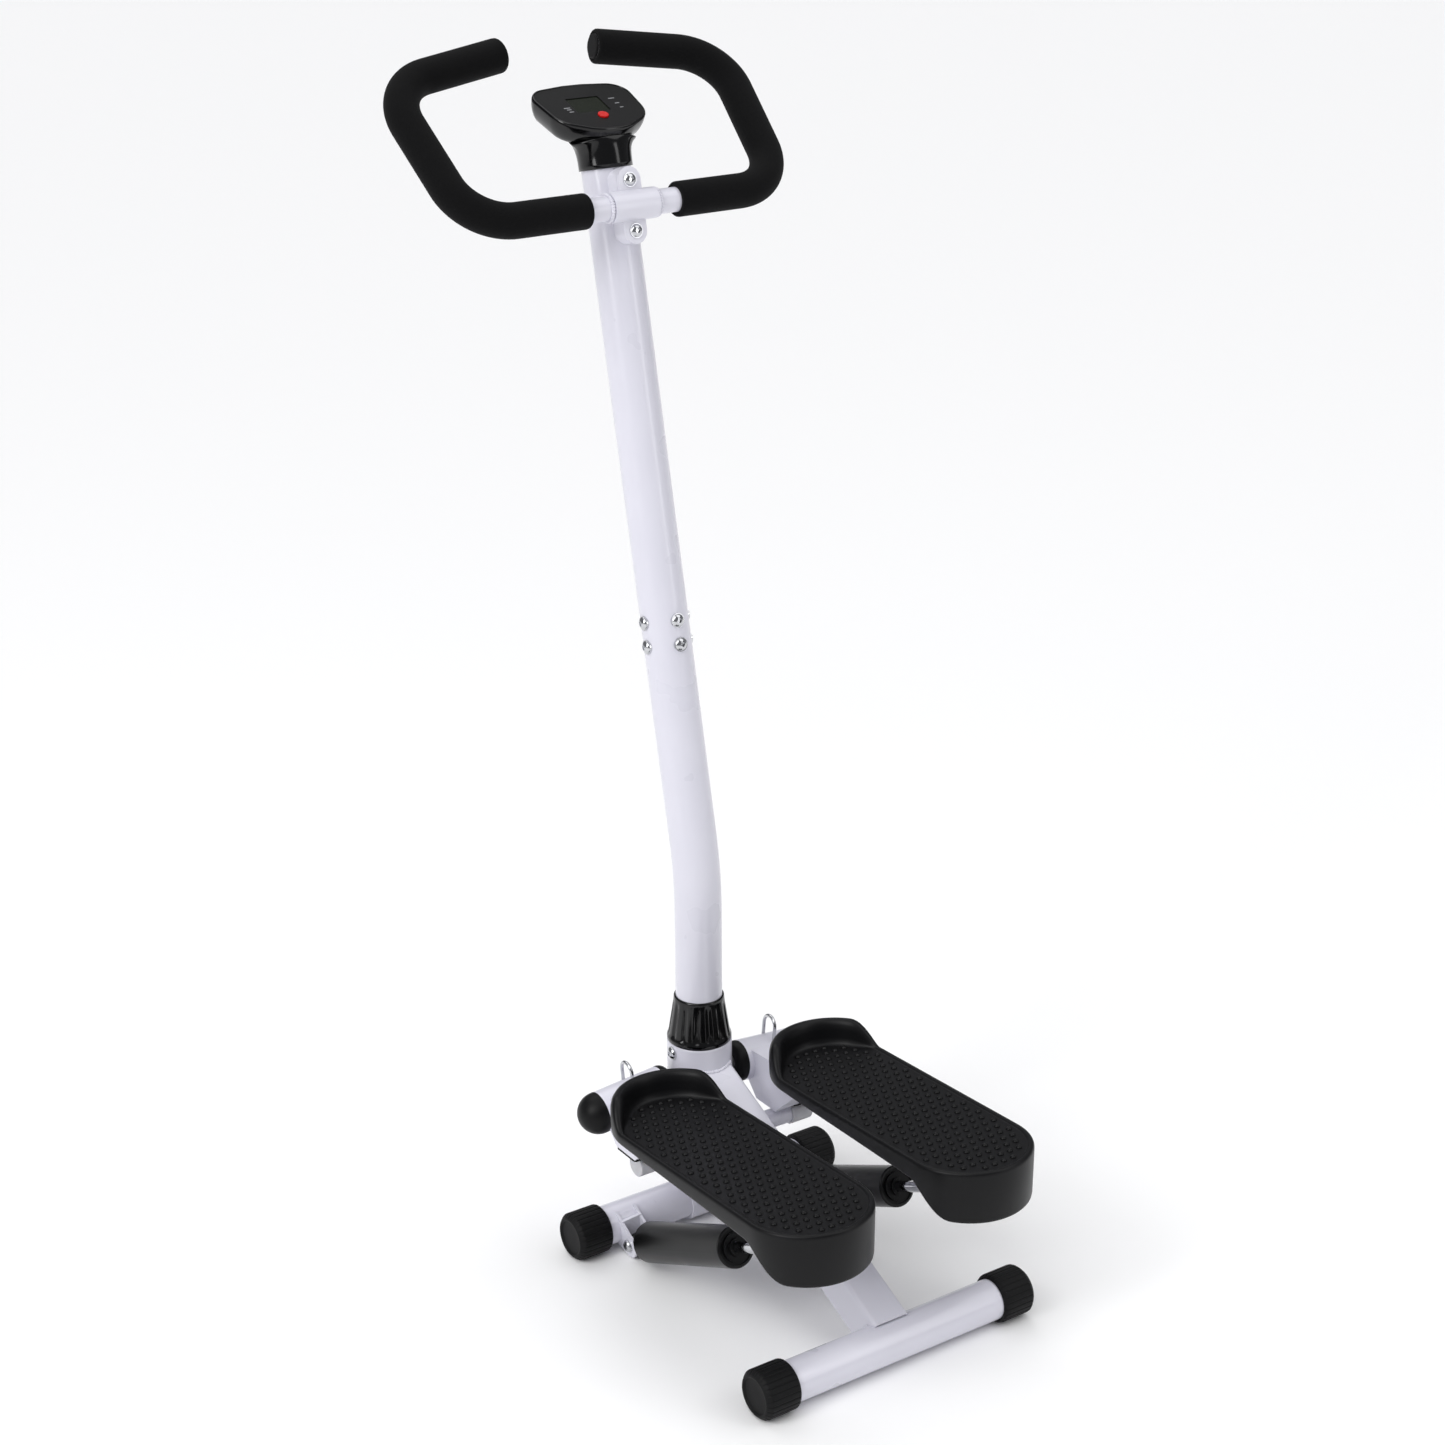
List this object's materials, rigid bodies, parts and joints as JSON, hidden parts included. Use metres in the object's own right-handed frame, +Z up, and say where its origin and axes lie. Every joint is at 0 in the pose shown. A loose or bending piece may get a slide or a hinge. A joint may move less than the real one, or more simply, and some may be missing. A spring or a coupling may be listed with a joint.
{
  "type": "stepper",
  "caption": "Mini stepper with two linked foot pedals on hydraulic cylinders, a leaning column, looped foam handlebars and a small display console.",
  "frame": {"origin": "on the floor, in the middle of the machine's footprint", "axes": "+Z up, +Y the way the user faces, +X to the user's right"},
  "size_m": [0.42, 0.6826, 1.2451],
  "materials": {
    "board_green": "solder mask",
    "bush_nylon": "nylon",
    "button_red": "gloss",
    "chrome_steel": "polished",
    "cylinder_black": "satin black",
    "glide_nylon": "nylon",
    "gloss_black": "moulded, gloss",
    "lens": "tinted",
    "rubber_black": "moulded, matt",
    "satin_black": "moulded, satin",
    "soft_black": "closed-cell foam, matt",
    "white": "gloss powder coat",
    "zinc_steel": "zinc plated"
  },
  "bodies": {
    "base": {"axle_nuts": "zinc_steel", "button_cell": "zinc_steel", "circuit_board": "board_green", "clamp_plate": "white", "clamp_saddle": "white", "clamp_screws": "chrome_steel", "collar": "white", "collar_screws": "chrome_steel", "column_bush": "satin_black", "column_cuff": "gloss_black", "column_lower": "white", "column_screws": "chrome_steel", "column_spigot": "zinc_steel", "column_upper": "white", "console_cover": "satin_black", "console_housing": "gloss_black", "console_neck": "gloss_black", "cylinder_brackets": "white", "cylinder_pins": "zinc_steel", "foot_caps": "rubber_black", "front_crossbar": "white", "front_post": "white", "lcd_lens": "lens", "pivot_axles": "zinc_steel", "rear_crossbar": "white", "rocker_bolt": "zinc_steel", "spine": "white"},
    "left_pedal": {"pivot_sleeve_left": "white", "sleeve_bushes_left": "bush_nylon", "dome_cap_left": "satin_black", "ball_cap_left": "satin_black", "band_eye_left": "chrome_steel", "pedal_arm_left": "white", "glide_pad_left": "rubber_black", "pedal_left": "satin_black", "pedal_screws_left": "zinc_steel", "rod_pin_left": "zinc_steel"},
    "left_cylinder": {"cylinder_left": "cylinder_black", "cylinder_gland_left": "satin_black"},
    "left_rod": {"piston_rod_left": "chrome_steel"},
    "right_pedal": {"pivot_sleeve_right": "white", "sleeve_bushes_right": "bush_nylon", "dome_cap_right": "satin_black", "ball_cap_right": "satin_black", "band_eye_right": "chrome_steel", "pedal_arm_right": "white", "glide_pad_right": "rubber_black", "pedal_right": "satin_black", "pedal_screws_right": "zinc_steel", "rod_pin_right": "zinc_steel"},
    "right_cylinder": {"cylinder_right": "cylinder_black", "cylinder_gland_right": "satin_black"},
    "right_rod": {"piston_rod_right": "chrome_steel"},
    "rocker": {"rocker_bar": "white", "rocker_glides": "glide_nylon"},
    "handlebar": {"handlebar_tube": "white", "foam_grip_left": "soft_black", "foam_grip_right": "soft_black", "grip_plugs": "rubber_black"},
    "console_button": {"console_button": "button_red"}
  },
  "joints": [
    {"name": "left_pedal_pivot", "type": "hinge", "parent": "base", "child": "left_pedal", "pos_m": [-0.08916, 0.05969, 0.1692], "axis": [0.9962, 0, 0.0872], "range_deg": [-11, 11]},
    {"name": "right_pedal_pivot", "type": "hinge", "parent": "base", "child": "right_pedal", "pos_m": [0.08916, 0.05969, 0.1692], "axis": [0.9962, 0, -0.0872], "range_deg": [-11, 11]},
    {"name": "left_cylinder_pivot", "type": "hinge", "parent": "base", "child": "left_cylinder", "pos_m": [-0.1025, 0.02569, 0.016], "axis": [0.9962, 0, 0.0872], "range_deg": [-9.8, 9.8]},
    {"name": "right_cylinder_pivot", "type": "hinge", "parent": "base", "child": "right_cylinder", "pos_m": [0.1025, 0.02569, 0.016], "axis": [0.9962, 0, -0.0872], "range_deg": [-9.8, 9.8]},
    {"name": "left_rod_slide", "type": "slide", "parent": "left_cylinder", "child": "left_rod", "axis": [0, -0.9, 0.4359], "range_m": [-0.0315, 0.0315]},
    {"name": "right_rod_slide", "type": "slide", "parent": "right_cylinder", "child": "right_rod", "axis": [0, -0.9, 0.4359], "range_m": [-0.0315, 0.0315]},
    {"name": "rocker_pivot", "type": "hinge", "parent": "base", "child": "rocker", "pos_m": [0, 0.01569, 0.117], "axis": [0, 1, 0], "range_deg": [-5, 5]},
    {"name": "handlebar_tilt", "type": "hinge", "parent": "base", "child": "handlebar", "pos_m": [0, 0.16862, 1.09497], "axis": [1, 0, 0], "range_deg": [-15, 15]},
    {"name": "button_press", "type": "slide", "parent": "base", "child": "console_button", "axis": [0, 0.3535, -0.9354], "range_m": [0, 0.0015], "stiffness_N_per_m": 300}
  ],
  "couplings": [
    {"joint": "right_pedal_pivot", "follows": "left_pedal_pivot", "ratio": -1},
    {"joint": "left_cylinder_pivot", "follows": "left_pedal_pivot", "ratio": 0.874},
    {"joint": "right_cylinder_pivot", "follows": "left_pedal_pivot", "ratio": -0.874},
    {"joint": "left_rod_slide", "follows": "left_pedal_pivot", "m_per_rad": -0.1515},
    {"joint": "right_rod_slide", "follows": "left_pedal_pivot", "m_per_rad": 0.1515},
    {"joint": "rocker_pivot", "follows": "left_pedal_pivot", "ratio": -0.449}
  ]
}
